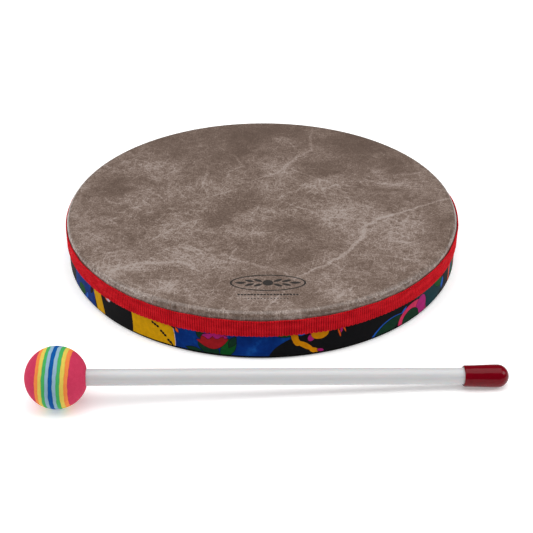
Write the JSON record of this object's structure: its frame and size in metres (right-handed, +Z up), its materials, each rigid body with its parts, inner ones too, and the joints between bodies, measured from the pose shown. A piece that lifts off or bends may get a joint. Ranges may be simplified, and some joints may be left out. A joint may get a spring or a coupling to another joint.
{
  "type": "frame drum",
  "caption": "Shallow round hoop drum with a flat glued head and taped rim, lying beside its straight beater with a striped foam ball and a capped grip end.",
  "frame": {"origin": "on the floor, at the centre of the footprint of drum and mallet together", "axes": "+Z up through the playing head, +Y from the mallet towards the drum, +X from the foam ball towards the capped end"},
  "size_m": [0.2688, 0.3123, 0.0348],
  "materials": {
    "fibreboard": "dark, matt, lightly fibrous laminated fibreboard",
    "printed_sheet": "glossy laminated print of blue, yellow, black and green leaf shapes",
    "adhesive": "set hot-melt adhesive, cloudy amber",
    "head_film": "grey-brown synthetic skin with pale random fibres under a satin film",
    "woven_tape": "red ribbed woven tape",
    "white_plastic": "satin white extruded plastic",
    "red_vinyl": "dark red dipped vinyl, glossy",
    "pink_foam": "matt closed-cell foam",
    "orange_foam": "matt closed-cell foam",
    "yellow_foam": "matt closed-cell foam",
    "green_foam": "matt closed-cell foam",
    "sky_foam": "matt closed-cell foam",
    "blue_foam": "matt closed-cell foam"
  },
  "bodies": {
    "drum": {"shell_hoop": "fibreboard", "printed_wrap": "printed_sheet", "head_adhesive": "adhesive", "head_film": "head_film", "rim_tape": "woven_tape"},
    "mallet": {"mallet_shaft": "white_plastic", "end_cap": "red_vinyl", "ball_adhesive": "adhesive", "foam_pink_far": "pink_foam", "foam_orange_far": "orange_foam", "foam_yellow_far": "yellow_foam", "foam_green_far": "green_foam", "foam_sky_far": "sky_foam", "foam_blue_middle": "blue_foam", "foam_sky_near": "sky_foam", "foam_green_near": "green_foam", "foam_yellow_near": "yellow_foam", "foam_orange_near": "orange_foam", "foam_pink_near": "pink_foam"}
  },
  "joints": [
    {"name": "mallet_lift", "type": "slide", "parent": "drum", "child": "mallet", "axis": [0, 0, 1], "range_m": [0, 0.15]}
  ]
}
